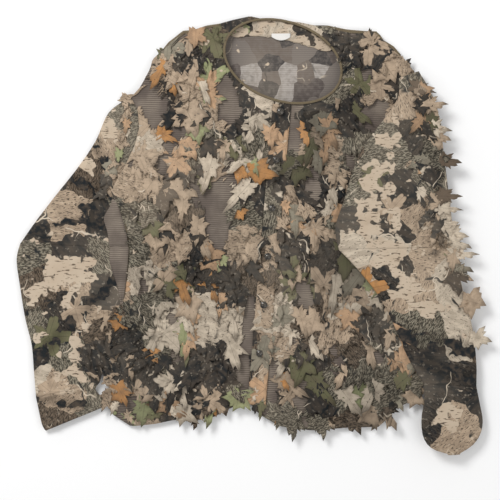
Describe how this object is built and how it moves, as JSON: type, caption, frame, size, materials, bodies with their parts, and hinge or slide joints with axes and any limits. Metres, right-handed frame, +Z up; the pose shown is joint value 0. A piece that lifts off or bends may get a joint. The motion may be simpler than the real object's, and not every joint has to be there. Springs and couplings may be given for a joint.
{
  "type": "leaf-cut camouflage jacket",
  "caption": "Front-opening leaf-cut camouflage jacket over mesh, laid flat with its press studs done up and one sleeve across the front.",
  "frame": {"origin": "on the table, under the middle of the laid-out jacket's bounding box", "axes": "+Z up from the table, +Y towards the neck, +X towards the wearer's left sleeve"},
  "size_m": [0.8416, 0.7574, 0.038],
  "materials": {
    "leaf_cloth": "matte printed polyester, cut into leaves",
    "print_cloth": "matte printed polyester",
    "netting": "matte ribbed mesh",
    "binding": "matte folded tape",
    "facing": "matte, wrong side of the print",
    "satin": "satin",
    "elastic": "matte woven elastic",
    "black_metal": "gloss"
  },
  "bodies": {
    "root": {"back_leaf_layer": "leaf_cloth", "back_mesh_panel": "netting", "left_side_mesh": "netting", "left_side_leaves": "leaf_cloth", "right_side_mesh": "netting", "right_side_leaves": "leaf_cloth", "left_side_seam": "print_cloth", "right_side_seam": "print_cloth", "left_shoulder_seam": "print_cloth", "right_shoulder_seam": "print_cloth", "back_neck_binding": "binding", "back_neck_facing": "facing", "neck_label": "satin"},
    "left_front": {"left_front_mesh": "netting", "left_front_leaves": "leaf_cloth", "top_placket": "print_cloth", "left_neck_binding": "binding", "stud_cap_1": "black_metal", "stud_cap_2": "black_metal", "stud_cap_3": "black_metal", "stud_cap_4": "black_metal", "stud_cap_5": "black_metal", "stud_cap_6": "black_metal", "stud_socket_1": "black_metal", "stud_socket_2": "black_metal", "stud_socket_3": "black_metal", "stud_socket_4": "black_metal", "stud_socket_5": "black_metal", "stud_socket_6": "black_metal"},
    "right_front": {"right_front_mesh": "netting", "right_front_leaves": "leaf_cloth", "under_placket": "print_cloth", "right_neck_binding": "binding", "stud_post_1": "black_metal", "stud_post_2": "black_metal", "stud_post_3": "black_metal", "stud_post_4": "black_metal", "stud_post_5": "black_metal", "stud_post_6": "black_metal"},
    "right_upper_sleeve": {"right_upper_sleeve_back": "netting", "right_upper_sleeve_front": "print_cloth", "right_upper_sleeve_leaves": "leaf_cloth"},
    "right_forearm": {"right_forearm_back": "netting", "right_forearm_front": "print_cloth", "right_forearm_leaves": "leaf_cloth", "right_cuff": "print_cloth", "right_cuff_elastic": "elastic"},
    "left_upper_sleeve": {"left_upper_sleeve_back": "netting", "left_upper_sleeve_front": "print_cloth", "left_upper_sleeve_leaves": "leaf_cloth"},
    "left_forearm": {"left_forearm_back": "netting", "left_forearm_front": "print_cloth", "left_forearm_leaves": "leaf_cloth", "left_cuff": "print_cloth", "left_cuff_elastic": "elastic"}
  },
  "joints": [
    {"name": "left_front_fold", "type": "hinge", "parent": "root", "child": "left_front", "pos_m": [0.12947, 0.00174, 0.0215], "axis": [0.0847, 0.9964, 0], "range_deg": [0, 100]},
    {"name": "right_front_fold", "type": "hinge", "parent": "root", "child": "right_front", "pos_m": [-0.08053, 0.00174, 0.0215], "axis": [-0.0847, -0.9964, 0], "range_deg": [0, 60]},
    {"name": "right_shoulder_swing", "type": "hinge", "parent": "root", "child": "right_upper_sleeve", "pos_m": [-0.268, 0.12374, 0.00735], "axis": [0, 0, -1], "range_deg": [0, 60]},
    {"name": "left_shoulder_swing", "type": "hinge", "parent": "root", "child": "left_upper_sleeve", "pos_m": [0.26, 0.15174, 0.02775], "axis": [0, 0, 1], "range_deg": [0, 70]},
    {"name": "right_elbow_fold", "type": "hinge", "parent": "right_upper_sleeve", "child": "right_forearm", "pos_m": [-0.338, -0.01026, 0.0182], "axis": [-0.9856, 0.1692, 0], "range_deg": [0, 150]},
    {"name": "left_elbow_fold", "type": "hinge", "parent": "left_upper_sleeve", "child": "left_forearm", "pos_m": [0.257, -0.01226, 0.0386], "axis": [-0.995, -0.0998, 0], "range_deg": [0, 150]}
  ],
  "couplings": [
    {"joint": "right_front_fold", "follows": "left_front_fold", "ratio": 0.6}
  ]
}
